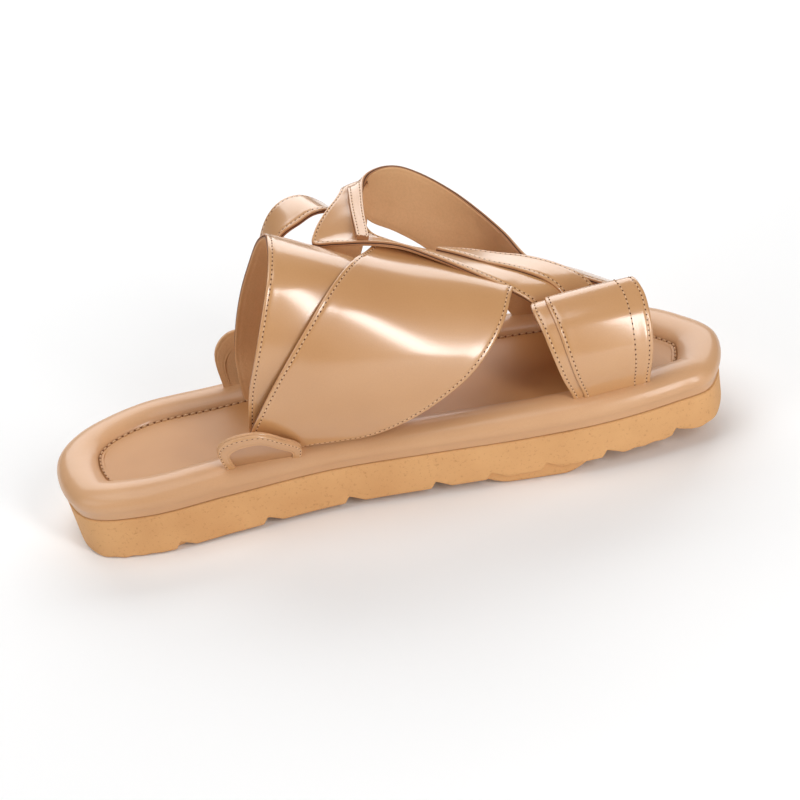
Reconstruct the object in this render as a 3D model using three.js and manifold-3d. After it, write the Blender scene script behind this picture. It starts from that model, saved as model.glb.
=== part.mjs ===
// Left sandal with wrapped straps, a big-toe ring and a padded footbed.
// Millimetres, +Z up, +X to the toe, +Y to the outer side, origin under the middle of the sole.
import * as THREE from 'three';
import Module from 'manifold-3d';

const wasm = await Module();
wasm.setup();

// Driving sizes of the whole shoe
const lastLength = 290;
const ballWidth = 98;
const instepRise = 86;
const heelSoleHeight = 21.1;
const toeSoleHeight = 16.2;
const toeSpring = 3.5;
const springStart = 0.62;
const soleTilt = 0.028;
const tiltStart = 20;

// Footbed and sole details
const rimWidth = 17.3;
const rimBulge = 1.5;
const rimHeight = 13.1;
const rimFootAngle = -30;
const rimFootInset = 0.4;
const insoleThickness = 3;
const insoleEdgeRadius = 0.9;
const insoleDish = 0.6;
const insoleDishInset = 4;
const heelFlare = 2;
const toeFlare = 0.2;
const grooveDepth = 3.2;
const grooveWidth = 9;
const grooveSteepShare = 0.25;
const padCover = 6;

// Leather thicknesses and the clearance between separate pieces
const strapThickness = 2.4;
const layerLift = 1;
const ringLayerStep = 1;
const ringStepShare = 0.14;
const guardThickness = 1.7;
const guardBorderShare = 0.26;
const guardBorderStep = 1.2;
const clearance = 0.3;

// Mesh fineness
const outlineSteps = 64;
const rimSteps = 7;
const rowSteps = 2;
const strapSteps = 4;
const guardSteps = 3;
const insetTolerance = 0.985;

// Outline of the seam between sole and footbed: shares of lastLength and ballWidth
const outlineStations = [
  { along: 0.03, inner: -0.319, outer: 0.265 },
  { along: 0.12, inner: -0.407, outer: 0.418 },
  { along: 0.25, inner: -0.378, outer: 0.446 },
  { along: 0.40, inner: -0.346, outer: 0.485 },
  { along: 0.55, inner: -0.384, outer: 0.531 },
  { along: 0.70, inner: -0.432, outer: 0.548 },
  { along: 0.82, inner: -0.449, outer: 0.477 },
  { along: 0.92, inner: -0.419, outer: 0.322 },
  { along: 0.975, inner: -0.378, outer: 0.140 },
];
const heelBack = { along: -0.003, across: 0.060 };
const toeTip = { along: 1.008, across: -0.073 };

// Rounded lower edges, from the lowest ring upwards: inset and height above it
const wallEdge = [
  { inset: 4, up: 0 },
  { inset: 1.2, up: 0.7 },
  { inset: 0, up: 3 },
];
const padEdge = [
  { inset: 6.5, up: 0 },
  { inset: 3.5, up: 0.5 },
  { inset: 2.4, up: 2 },
];

// Pads of the tread that stand on the floor, under the heel and the ball: shares of lastLength
const treadPads = [
  { along: 0.10, flat: 0.05, reach: 0.12 },
  { along: 0.70, flat: 0.04, reach: 0.12 },
];

// Grooves across the tread, which stop at the pads: shares of lastLength
const grooveStations = [0.152, 0.286, 0.411, 0.542, 0.625, 0.708, 0.800, 0.908];

// Straps. Each row is one section across the strap, from its back edge to its front edge.
// A point is [along, across, up]: shares of lastLength, of ballWidth and of instepRise above the rim.
// crown is how far the middle of the section stands out, a share of instepRise.
const rearBand = [
  { back: [0.291, -0.247, -0.079], front: [0.355, -0.247, -0.075], crown: 0 },
  { back: [0.291, -0.270, 0.037], front: [0.359, -0.280, 0.041], crown: 0 },
  { back: [0.297, -0.327, 0.201], front: [0.379, -0.332, 0.182], crown: 0.01 },
  { back: [0.309, -0.362, 0.387], front: [0.417, -0.367, 0.347], crown: 0.02 },
  { back: [0.329, -0.385, 0.575], front: [0.459, -0.357, 0.524], crown: 0.02 },
  { back: [0.353, -0.345, 0.774], front: [0.490, -0.286, 0.665], crown: 0.02 },
  { back: [0.371, -0.268, 0.908], front: [0.509, -0.194, 0.764], crown: 0.02 },
  { back: [0.381, -0.155, 0.984], front: [0.519, -0.082, 0.780], crown: 0.02 },
  { back: [0.384, -0.041, 1.010], front: [0.519, 0.010, 0.747], crown: 0.01 },
  { back: [0.381, 0.056, 0.985], front: [0.517, 0.092, 0.690], crown: 0.01 },
  { back: [0.367, 0.143, 0.914], front: [0.514, 0.184, 0.618], crown: 0.01 },
  { back: [0.345, 0.230, 0.750], front: [0.497, 0.265, 0.503], crown: 0.01 },
  { back: [0.323, 0.292, 0.575], front: [0.462, 0.327, 0.373], crown: 0.01 },
  { back: [0.303, 0.333, 0.376], front: [0.410, 0.347, 0.219], crown: 0.01 },
  { back: [0.290, 0.340, 0.201], front: [0.369, 0.347, 0.112], crown: 0 },
  { back: [0.287, 0.311, 0.061], front: [0.359, 0.316, 0.053], crown: 0 },
  { back: [0.289, 0.289, -0.079], front: [0.355, 0.289, -0.075], crown: 0 },
];

const medialWing = [
  { back: [0.300, -0.272, -0.078], front: [0.362, -0.272, -0.075], crown: 0 },
  { back: [0.297, -0.291, 0.015], front: [0.366, -0.290, 0.001], crown: 0 },
  { back: [0.295, -0.337, 0.142], front: [0.383, -0.311, 0.017], crown: 0 },
  { back: [0.316, -0.385, 0.283], front: [0.421, -0.324, 0.015], crown: 0.017 },
  { back: [0.342, -0.398, 0.409], front: [0.469, -0.347, 0.024], crown: 0.035 },
  { back: [0.378, -0.398, 0.561], front: [0.524, -0.378, 0.080], crown: 0.047 },
  { back: [0.413, -0.362, 0.684], front: [0.579, -0.391, 0.164], crown: 0.047 },
  { back: [0.447, -0.289, 0.778], front: [0.628, -0.375, 0.254], crown: 0.047 },
  { back: [0.479, -0.184, 0.824], front: [0.666, -0.332, 0.349], crown: 0.035 },
  { back: [0.500, -0.102, 0.826], front: [0.693, -0.260, 0.430], crown: 0.023 },
  { back: [0.516, -0.020, 0.800], front: [0.712, -0.158, 0.492], crown: 0.012 },
  { back: [0.534, 0.082, 0.780], front: [0.725, -0.041, 0.480], crown: 0 },
  { back: [0.545, 0.173, 0.740], front: [0.736, 0.061, 0.445], crown: 0 },
];

const crossStrap = [
  { back: [0.779, -0.131, -0.128], front: [0.828, -0.117, -0.130], crown: 0 },
  { back: [0.775, -0.131, 0.105], front: [0.828, -0.114, 0.102], crown: 0 },
  { back: [0.764, -0.133, 0.303], front: [0.821, -0.092, 0.301], crown: 0 },
  { back: [0.738, -0.148, 0.436], front: [0.800, -0.031, 0.406], crown: 0.012 },
  { back: [0.707, -0.122, 0.522], front: [0.772, 0.082, 0.460], crown: 0.012 },
  { back: [0.676, -0.092, 0.593], front: [0.738, 0.143, 0.489], crown: 0.012 },
  { back: [0.645, -0.064, 0.660], front: [0.697, 0.153, 0.530], crown: 0.012 },
  { back: [0.614, -0.036, 0.722], front: [0.648, 0.153, 0.587], crown: 0.012 },
  { back: [0.570, -0.010, 0.805], front: [0.597, 0.143, 0.677], crown: 0 },
  { back: [0.526, 0.010, 0.845], front: [0.555, 0.122, 0.773], crown: 0 },
  { back: [0.479, 0.051, 0.852], front: [0.534, 0.133, 0.830], crown: 0 },
  { back: [0.446, 0.102, 0.850], front: [0.528, 0.173, 0.865], crown: 0 },
  { back: [0.453, 0.173, 0.880], front: [0.528, 0.235, 0.886], crown: 0 },
  { back: [0.472, 0.265, 0.911], front: [0.531, 0.327, 0.904], crown: 0 },
  { back: [0.493, 0.357, 0.926], front: [0.538, 0.413, 0.927], crown: 0 },
  { back: [0.506, 0.439, 0.929], front: [0.547, 0.469, 0.936], crown: 0.006 },
  { back: [0.503, 0.493, 0.881], front: [0.548, 0.510, 0.884], crown: 0.012 },
  { back: [0.488, 0.513, 0.775], front: [0.541, 0.529, 0.761], crown: 0.012 },
  { back: [0.464, 0.510, 0.640], front: [0.526, 0.527, 0.597], crown: 0.012 },
  { back: [0.429, 0.490, 0.476], front: [0.497, 0.505, 0.410], crown: 0.012 },
  { back: [0.384, 0.444, 0.299], front: [0.452, 0.454, 0.239], crown: 0 },
  { back: [0.338, 0.378, 0.145], front: [0.400, 0.388, 0.113], crown: 0 },
  { back: [0.310, 0.330, 0.044], front: [0.369, 0.334, 0.042], crown: 0 },
  { back: [0.303, 0.313, -0.078], front: [0.362, 0.313, -0.075], crown: 0 },
];

const rearLoop = [
  { back: [0.353, 0.357, 0.436], front: [0.357, 0.306, 0.518], crown: 0 },
  { back: [0.358, 0.423, 0.576], front: [0.367, 0.296, 0.658], crown: 0 },
  { back: [0.368, 0.469, 0.717], front: [0.386, 0.296, 0.767], crown: 0 },
  { back: [0.389, 0.497, 0.840], front: [0.407, 0.301, 0.833], crown: 0 },
  { back: [0.414, 0.510, 0.900], front: [0.433, 0.306, 0.871], crown: 0.006 },
  { back: [0.441, 0.513, 0.907], front: [0.455, 0.316, 0.899], crown: 0.006 },
  { back: [0.466, 0.513, 0.856], front: [0.476, 0.327, 0.897], crown: 0 },
  { back: [0.486, 0.513, 0.775], front: [0.493, 0.337, 0.857], crown: 0 },
  { back: [0.491, 0.513, 0.677], front: [0.502, 0.378, 0.782], crown: 0 },
];

const vamp = [
  { back: [0.510, 0.025, 0.873], front: [0.527, 0.018, 0.857], crown: 0 },
  { back: [0.511, 0.230, 0.914], front: [0.530, 0.224, 0.898], crown: 0 },
  { back: [0.515, 0.408, 0.935], front: [0.538, 0.388, 0.935], crown: 0 },
  { back: [0.519, 0.495, 0.850], front: [0.551, 0.464, 0.962], crown: 0 },
  { back: [0.538, 0.521, 0.690], front: [0.572, 0.495, 0.975], crown: 0.006 },
  { back: [0.571, 0.524, 0.605], front: [0.597, 0.505, 0.960], crown: 0.006 },
  { back: [0.603, 0.524, 0.510], front: [0.629, 0.495, 0.897], crown: 0.006 },
  { back: [0.631, 0.525, 0.405], front: [0.669, 0.459, 0.785], crown: 0.012 },
  { back: [0.666, 0.524, 0.280], front: [0.700, 0.388, 0.683], crown: 0.023 },
  { back: [0.707, 0.500, 0.130], front: [0.728, 0.286, 0.586], crown: 0.045 },
  { back: [0.745, 0.459, -0.069], front: [0.759, 0.112, 0.475], crown: 0.10 },
  { back: [0.803, 0.439, -0.071], front: [0.800, 0.041, 0.425], crown: 0.115 },
  { back: [0.875, 0.350, -0.068], front: [0.862, -0.031, 0.330], crown: 0.075 },
];

const vampEdge = [
  { back: [0.628, 0.102, 0.667], front: [0.621, 0.066, 0.690], crown: 0 },
  { back: [0.669, 0.133, 0.611], front: [0.655, 0.039, 0.645], crown: 0 },
  { back: [0.714, 0.143, 0.548], front: [0.690, 0.022, 0.582], crown: 0 },
  { back: [0.752, 0.133, 0.507], front: [0.731, -0.005, 0.524], crown: 0 },
  { back: [0.797, 0.071, 0.453], front: [0.767, -0.046, 0.463], crown: 0.006 },
  { back: [0.831, 0.010, 0.381], front: [0.786, -0.082, 0.401], crown: 0.006 },
  { back: [0.848, -0.061, 0.287], front: [0.797, -0.110, 0.278], crown: 0 },
  { back: [0.852, -0.095, 0.101], front: [0.802, -0.117, 0.104], crown: 0 },
  { back: [0.852, -0.107, -0.132], front: [0.805, -0.128, -0.129], crown: 0 },
];

const toeRing = [
  { back: [0.772, -0.367, -0.093], front: [0.886, -0.357, -0.088], crown: 0 },
  { back: [0.769, -0.391, 0.012], front: [0.886, -0.381, 0.017], crown: 0 },
  { back: [0.758, -0.418, 0.142], front: [0.892, -0.413, 0.147], crown: 0.012 },
  { back: [0.749, -0.405, 0.280], front: [0.897, -0.406, 0.240], crown: 0.012 },
  { back: [0.743, -0.362, 0.379], front: [0.900, -0.365, 0.340], crown: 0.012 },
  { back: [0.737, -0.281, 0.440], front: [0.900, -0.290, 0.415], crown: 0.012 },
  { back: [0.738, -0.217, 0.445], front: [0.894, -0.219, 0.448], crown: 0.006 },
  { back: [0.745, -0.181, 0.402], front: [0.890, -0.180, 0.415], crown: 0 },
  { back: [0.757, -0.179, 0.280], front: [0.884, -0.174, 0.284], crown: 0 },
  { back: [0.771, -0.184, 0.128], front: [0.871, -0.178, 0.123], crown: 0 },
  { back: [0.779, -0.186, -0.128], front: [0.859, -0.182, -0.132], crown: 0 },
];

// Half-moon guard on the inner side: its foot line and its free edge, and the outer one mirrored.
const innerGuard = [
  { back: [0.357, -0.316, -0.063], front: [0.364, -0.354, 0.036], crown: 0 },
  { back: [0.336, -0.311, -0.065], front: [0.340, -0.414, 0.137], crown: 0 },
  { back: [0.312, -0.311, -0.066], front: [0.312, -0.437, 0.205], crown: 0 },
  { back: [0.286, -0.311, -0.067], front: [0.286, -0.437, 0.214], crown: 0 },
  { back: [0.264, -0.311, -0.069], front: [0.260, -0.426, 0.196], crown: 0 },
  { back: [0.253, -0.311, -0.069], front: [0.245, -0.400, 0.145], crown: 0 },
];
const outerGuard = [
  { back: [0.262, 0.358, -0.069], front: [0.258, 0.400, 0.175], crown: 0 },
  { back: [0.272, 0.358, -0.069], front: [0.272, 0.420, 0.245], crown: 0 },
  { back: [0.290, 0.358, -0.067], front: [0.292, 0.430, 0.275], crown: 0 },
  { back: [0.312, 0.358, -0.066], front: [0.314, 0.430, 0.262], crown: 0 },
  { back: [0.336, 0.358, -0.065], front: [0.338, 0.418, 0.190], crown: 0 },
  { back: [0.357, 0.362, -0.063], front: [0.362, 0.384, 0.050], crown: 0 },
];

// Lower edge of the wall: level under the heel, then climbing to the toe
function edgeHeight(x) {
  const share = Math.max(0, (x / lastLength - springStart) / (1 - springStart));
  return soleTilt * Math.max(0, x - tiltStart) + toeSpring * share * share;
}

// Under side of the pads: on the floor where they are flat, and up inside the sole past their reach
function padHeight(x) {
  const lifts = treadPads.map(({ along, flat, reach }) => {
    return THREE.MathUtils.smoothstep(Math.abs(x / lastLength - along), flat, reach);
  });
  return (edgeHeight(x) + grooveDepth) * Math.min(...lifts);
}

function seamHeight(x) {
  return THREE.MathUtils.lerp(heelSoleHeight, toeSoleHeight, x / lastLength) + edgeHeight(x);
}

// A strap's point. Its height is measured square to the tilted footbed.
function place([along, across, up]) {
  const x = along * lastLength;
  const rise = up * instepRise;
  return new THREE.Vector3(x - soleTilt * rise, across * ballWidth, seamHeight(x) + rimHeight + rise);
}

// Outline of the sole at the seam, from the heel along the inner side to the toe and back
const inner = outlineStations.map((s) => new THREE.Vector3(s.along * lastLength, s.inner * ballWidth, 0));
const outer = outlineStations.map((s) => new THREE.Vector3(s.along * lastLength, s.outer * ballWidth, 0));
const [heelPoint, toePoint] = [heelBack, toeTip].map(({ along, across }) => {
  return new THREE.Vector3(along * lastLength, across * ballWidth, 0);
});
const outlineCurve = new THREE.CatmullRomCurve3([heelPoint, ...inner, toePoint, ...outer.reverse()], true);
const outline = outlineCurve.getSpacedPoints(outlineSteps).slice(0, outlineSteps);
const outlineMiddle = new THREE.Box3().setFromPoints(outline).getCenter(new THREE.Vector3());

function outlineNormal(i) {
  const before = outline[(i + outlineSteps - 1) % outlineSteps];
  const after = outline[(i + 1) % outlineSteps];
  return new THREE.Vector3(after.y - before.y, before.x - after.x, 0).normalize();
}

// The outline moved inwards, with the points of a tight corner drawn together instead of crossing
function insetOutline(inset) {
  const moved = outline.map((p, i) => p.clone().addScaledVector(outlineNormal(i), -inset(p.x)));
  const kept = moved.map((p, i) => {
    const least = inset(outline[i].x) * insetTolerance;
    return outline.every((q) => p.distanceTo(q) >= least);
  });
  return moved.map((p, i) => {
    if (kept[i]) return p;
    let before = i;
    let after = i;
    while (!kept[(before + outlineSteps) % outlineSteps]) before -= 1;
    while (!kept[after % outlineSteps]) after += 1;
    const start = moved[(before + outlineSteps) % outlineSteps];
    return start.clone().lerp(moved[after % outlineSteps], (i - before) / (after - before));
  });
}

function toSolid(points, triangles) {
  const vertProperties = new Float32Array(points.flatMap((p) => [p.x, p.y, p.z]));
  const mesh = new wasm.Mesh({ numProp: 3, vertProperties, triVerts: new Uint32Array(triangles) });
  mesh.merge();
  const solid = new wasm.Manifold(mesh);
  return solid.volume() < 0 ? flipped(points, triangles) : solid;
}

function flipped(points, triangles) {
  const turned = [];
  for (let i = 0; i < triangles.length; i += 3) turned.push(triangles[i], triangles[i + 2], triangles[i + 1]);
  return toSolid(points, turned);
}

// A closed stack of rings round the sole, each { inset(x), z(x) }, closed below and above by ladders
function ringStack(rings) {
  const points = [];
  const triangles = [];
  for (const ring of rings) {
    for (const p of insetOutline(ring.inset)) points.push(new THREE.Vector3(p.x, p.y, ring.z(p.x)));
  }
  for (let k = 0; k < rings.length - 1; k++) {
    for (let i = 0; i < outlineSteps; i++) {
      const next = (i + 1) % outlineSteps;
      const a = k * outlineSteps + i;
      const b = k * outlineSteps + next;
      triangles.push(a, b, b + outlineSteps, a, b + outlineSteps, a + outlineSteps);
    }
  }
  ladder(triangles, 0, true);
  ladder(triangles, (rings.length - 1) * outlineSteps, false);
  return toSolid(points, triangles);
}

function ladder(triangles, start, down) {
  for (let i = 0; i < outlineSteps / 2; i++) {
    const a = start + i;
    const b = start + i + 1;
    const c = start + ((outlineSteps - i - 1) % outlineSteps);
    const d = start + ((outlineSteps - i) % outlineSteps);
    const faces = i === 0 ? [[a, b, c]] : b === c ? [[a, b, d]] : [[a, b, c], [a, c, d]];
    for (const [p, q, r] of faces) triangles.push(p, down ? r : q, down ? q : r);
  }
}

// A strap lofted through its rows. grow thickens and lengthens it, to cut the slot that it passes.
function strap(rows, { thickness = strapThickness, lift = 0, grow = 0, from = 0, steps = strapSteps }) {
  const backCurve = new THREE.CatmullRomCurve3(rows.map((row) => place(row.back)));
  const frontCurve = new THREE.CatmullRomCurve3(rows.map((row) => place(row.front)));
  const crownCurve = new THREE.CatmullRomCurve3(rows.map((row, i) => new THREE.Vector3(i, row.crown, 0)));
  const alongSteps = (rows.length - 1) * rowSteps;
  const middle = (t) => backCurve.getPoint(t).lerp(frontCurve.getPoint(t), 0.5);
  const grid = [];
  for (let j = 0; j <= alongSteps; j++) {
    const t = j / alongSteps;
    const back = backCurve.getPoint(t);
    const across = frontCurve.getPoint(t).sub(back);
    const reach = 0.5 / alongSteps;
    const along = middle(Math.min(1, t + reach)).sub(middle(Math.max(0, t - reach)));
    const out = across.clone().cross(along).normalize();
    const crown = crownCurve.getPoint(t).y * instepRise;
    const overhang = grow / across.length();
    const row = [];
    for (let i = 0; i <= steps; i++) {
      const share = THREE.MathUtils.lerp(from - overhang, 1 + overhang, i / steps);
      const rise = crown * 4 * share * (1 - share);
      row.push(back.clone().addScaledVector(across, share).addScaledVector(out, rise));
    }
    grid.push(row);
  }
  if (grow > 0) extendEnds(grid, grow);
  return sheetSolid(grid, thickness + 2 * grow, lift);
}

function extendEnds(grid, length) {
  const last = grid.length - 1;
  const ends = [[0, 1], [last, last - 1]];
  for (const [end, next] of ends) {
    for (let i = 0; i < grid[end].length; i++) {
      const direction = grid[end][i].clone().sub(grid[next][i]).normalize();
      grid[end][i].addScaledVector(direction, length);
    }
  }
}

// A sheet of leather with its middle on the grid, moved outwards by lift
function sheetSolid(grid, thickness, lift) {
  const rows = grid.length;
  const columns = grid[0].length;
  const points = [];
  for (const side of [0.5, -0.5]) {
    for (let j = 0; j < rows; j++) {
      for (let i = 0; i < columns; i++) {
        const along = grid[Math.min(j + 1, rows - 1)][i].clone().sub(grid[Math.max(j - 1, 0)][i]);
        const across = grid[j][Math.min(i + 1, columns - 1)].clone().sub(grid[j][Math.max(i - 1, 0)]);
        const normal = across.cross(along).normalize();
        points.push(grid[j][i].clone().addScaledVector(normal, lift + side * thickness));
      }
    }
  }
  const triangles = [];
  const under = rows * columns;
  const quad = (a, b, c, d) => triangles.push(a, b, c, a, c, d);
  for (let j = 0; j < rows - 1; j++) {
    for (let i = 0; i < columns - 1; i++) {
      const a = j * columns + i;
      quad(a, a + 1, a + columns + 1, a + columns);
      quad(under + a, under + a + columns, under + a + columns + 1, under + a + 1);
    }
  }
  for (let j = 0; j < rows - 1; j++) {
    const left = j * columns;
    const right = left + columns - 1;
    quad(left, left + columns, under + left + columns, under + left);
    quad(right, under + right, under + right + columns, right + columns);
  }
  for (let i = 0; i < columns - 1; i++) {
    const top = (rows - 1) * columns + i;
    quad(i, under + i, under + i + 1, i + 1);
    quad(top, top + 1, under + top + 1, under + top);
  }
  return toSolid(points, triangles);
}

// How far the foot of the sole's wall is drawn in
function wallFlare(x) {
  return THREE.MathUtils.lerp(heelFlare, toeFlare, x / lastLength);
}

// Outsole: tapered wall, grooves across the tread, and the pads that it stands on
function makeOutsole() {
  const wall = wallEdge.map(({ inset, up }) => ({
    inset: (x) => wallFlare(x) + inset,
    z: (x) => edgeHeight(x) + up,
  }));
  const pads = padEdge.map(({ inset, up }) => ({
    inset: (x) => wallFlare(x) + inset,
    z: (x) => padHeight(x) + up,
  }));
  const padTop = { inset: pads[pads.length - 1].inset, z: (x) => seamHeight(x) - padCover };
  const body = ringStack([...wall, { inset: () => 0, z: seamHeight }]);
  const grooved = grooveStations.reduce((cut, along) => cut.subtract(makeGroove(along * lastLength)), body);
  return grooved.add(ringStack([...pads, padTop]));
}

function makeGroove(x) {
  const edge = edgeHeight(x);
  const shape = new THREE.Shape([
    new THREE.Vector2(x, -grooveDepth),
    new THREE.Vector2(x + grooveWidth, -grooveDepth),
    new THREE.Vector2(x + grooveWidth, edge),
    new THREE.Vector2(x + grooveWidth * grooveSteepShare, edge + grooveDepth),
    new THREE.Vector2(x, edge),
  ]);
  const depth = 2 * ballWidth;
  const bar = new THREE.ExtrudeGeometry(shape, { depth, bevelEnabled: false });
  bar.rotateX(Math.PI / 2);
  bar.translate(0, depth / 2, 0);
  return geometrySolid(bar);
}

function geometrySolid(geometry) {
  const position = geometry.getAttribute('position');
  const points = [];
  for (let i = 0; i < position.count; i++) points.push(new THREE.Vector3().fromBufferAttribute(position, i));
  const index = geometry.index ? [...geometry.index.array] : points.map((_, i) => i);
  return toSolid(points, index);
}

// Footbed: a padded rim round a sunken floor for the insole
function rimPoint(degrees) {
  const angle = THREE.MathUtils.degToRad(degrees);
  const halfWidth = (rimWidth - 1) / 2 + rimBulge;
  const inset = (rimWidth - 1) / 2 - halfWidth * Math.cos(angle);
  return { inset, up: rimHeight / 2 * (1 + Math.sin(angle)) };
}

const rimInnerAngle = 180 - THREE.MathUtils.radToDeg(Math.acos(
  (rimWidth - (rimWidth - 1) / 2) / ((rimWidth - 1) / 2 + rimBulge)));
const insoleTopUp = rimPoint(rimInnerAngle).up;

function makeFootbed() {
  const rings = [{ inset: () => rimFootInset, z: (x) => seamHeight(x) + clearance }];
  for (let k = 0; k <= rimSteps; k++) {
    const { inset, up } = rimPoint(THREE.MathUtils.lerp(rimFootAngle, rimInnerAngle, k / rimSteps));
    rings.push({ inset: () => inset, z: (x) => seamHeight(x) + up });
  }
  const floorUp = insoleTopUp - insoleThickness;
  rings.push({ inset: () => rimWidth + clearance / 2, z: (x) => seamHeight(x) + floorUp });
  return ringStack(rings);
}

function makeInsole() {
  const edge = rimWidth + 1.5 * clearance;
  const bottomUp = insoleTopUp - insoleThickness + clearance;
  return ringStack([
    { inset: () => edge, z: (x) => seamHeight(x) + bottomUp },
    { inset: () => edge, z: (x) => seamHeight(x) + insoleTopUp - insoleEdgeRadius },
    { inset: () => edge + insoleEdgeRadius, z: (x) => seamHeight(x) + insoleTopUp },
    { inset: () => edge + insoleDishInset, z: (x) => seamHeight(x) + insoleTopUp - insoleDish },
  ]);
}

// Upper: the straps joined where they cross. A strap that lies on another is lifted by one layer.
const upperStraps = [
  [rearBand, { lift: -layerLift }],
  [medialWing, { lift: layerLift }],
  [crossStrap, {}],
  [rearLoop, {}],
  [vamp, { lift: layerLift }],
  [vampEdge, { lift: layerLift }],
];

const ringStraps = [
  [toeRing, {}],
  [toeRing, { lift: ringLayerStep, from: ringStepShare }],
];

// A guard is a half-moon sheet with a thicker border along its free edge
function guardStraps(rows) {
  const foot = rows.map((row) => row.back);
  const middle = foot[0].map((value, axis) => (value + foot[foot.length - 1][axis]) / 2);
  const edge = [foot[0], ...rows.map((row) => row.front), foot[foot.length - 1]];
  const border = edge.map((point) => ({
    back: point.map((value, axis) => THREE.MathUtils.lerp(value, middle[axis], guardBorderShare)),
    front: point,
    crown: 0,
  }));
  return [
    [rows, { thickness: guardThickness, steps: guardSteps }],
    [border, { thickness: guardThickness + guardBorderStep, lift: guardBorderStep / 2, steps: 1 }],
  ];
}

function makeStraps(list, grow) {
  return list.map(([rows, options]) => strap(rows, { ...options, grow })).reduce((all, one) => all.add(one));
}

const slots = [upperStraps, ringStraps, guardStraps(innerGuard), guardStraps(outerGuard)]
  .map((list) => makeStraps(list, clearance))
  .reduce((all, one) => all.add(one));

// What is left of a solid without the slivers that neighbouring slots cut off
function largestBody(solid) {
  return solid.decompose().reduce((large, one) => (one.volume() > large.volume() ? one : large));
}

const leather = { color: 0xd4a578, roughness: 0.3, metalness: 0 };
const pieces = {
  outsole: { solid: makeOutsole(), color: 0xd4a56e, roughness: 0.8 },
  footbed_rim: { solid: largestBody(makeFootbed().subtract(slots)), color: 0xcfa27c, roughness: 0.45 },
  insole: { solid: largestBody(makeInsole().subtract(slots)), color: 0xc9a27d, roughness: 0.5 },
  upper: { solid: makeStraps(upperStraps, 0), ...leather },
  toe_ring: { solid: makeStraps(ringStraps, 0), ...leather },
  guard_inner: { solid: makeStraps(guardStraps(innerGuard), 0), ...leather },
  guard_outer: { solid: makeStraps(guardStraps(outerGuard), 0), ...leather },
};

function toMesh(name, { solid, color, roughness }) {
  const { vertProperties, triVerts, numProp } = solid.getMesh();
  const geometry = new THREE.BufferGeometry();
  const xyz = new Float32Array(vertProperties.length / numProp * 3);
  for (let i = 0; i < xyz.length / 3; i++) {
    for (let axis = 0; axis < 3; axis++) xyz[i * 3 + axis] = vertProperties[i * numProp + axis];
  }
  geometry.setAttribute('position', new THREE.BufferAttribute(xyz, 3));
  geometry.setIndex([...triVerts]);
  geometry.computeVertexNormals();
  const mesh = new THREE.Mesh(geometry, new THREE.MeshStandardMaterial({ color, roughness, metalness: 0 }));
  mesh.name = name;
  return mesh;
}

const sandal = new THREE.Group();
for (const [name, piece] of Object.entries(pieces)) sandal.add(toMesh(name, piece));
sandal.position.set(-outlineMiddle.x, -outlineMiddle.y, 0);

export default sandal;
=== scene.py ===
import math

import bpy
import numpy as np
from mathutils import Matrix, Vector


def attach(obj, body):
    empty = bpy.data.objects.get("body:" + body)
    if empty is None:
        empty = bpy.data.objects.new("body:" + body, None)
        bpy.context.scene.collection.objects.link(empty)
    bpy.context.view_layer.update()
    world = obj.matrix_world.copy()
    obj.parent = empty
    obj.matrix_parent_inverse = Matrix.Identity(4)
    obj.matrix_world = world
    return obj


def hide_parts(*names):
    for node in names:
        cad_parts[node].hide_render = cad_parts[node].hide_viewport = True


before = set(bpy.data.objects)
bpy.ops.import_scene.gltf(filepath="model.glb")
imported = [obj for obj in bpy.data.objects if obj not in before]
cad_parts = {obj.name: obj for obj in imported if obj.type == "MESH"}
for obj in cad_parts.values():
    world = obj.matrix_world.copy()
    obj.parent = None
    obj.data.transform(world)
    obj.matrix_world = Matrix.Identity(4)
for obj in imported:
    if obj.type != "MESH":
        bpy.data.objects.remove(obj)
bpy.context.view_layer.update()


# Sizes of the shoe, in metres. The tables below hold shares of length, ballWidth and instepRise.
shoe = {
    "length": 0.290, "ballWidth": 0.098, "instepRise": 0.086,
    "heelSole": 0.0211, "toeSole": 0.0162,
    "toeSpring": 0.0035, "springStart": 0.62, "tilt": 0.028, "tiltStart": 0.020,
    "rimWidth": 0.0173, "rimBulge": 0.0015, "rimHeight": 0.0131, "clearance": 0.0003,
}

outlineStations = [
    {"along": 0.03, "inner": -0.319, "outer": 0.265},
    {"along": 0.12, "inner": -0.407, "outer": 0.418},
    {"along": 0.25, "inner": -0.378, "outer": 0.446},
    {"along": 0.40, "inner": -0.346, "outer": 0.485},
    {"along": 0.55, "inner": -0.384, "outer": 0.531},
    {"along": 0.70, "inner": -0.432, "outer": 0.548},
    {"along": 0.82, "inner": -0.449, "outer": 0.477},
    {"along": 0.92, "inner": -0.419, "outer": 0.322},
    {"along": 0.975, "inner": -0.378, "outer": 0.140},
]
heelBack = {"along": -0.003, "across": 0.060}
toeTip = {"along": 1.008, "across": -0.073}


def row(back, front, crown=0):
    return {"back": back, "front": front, "crown": crown}


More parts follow.
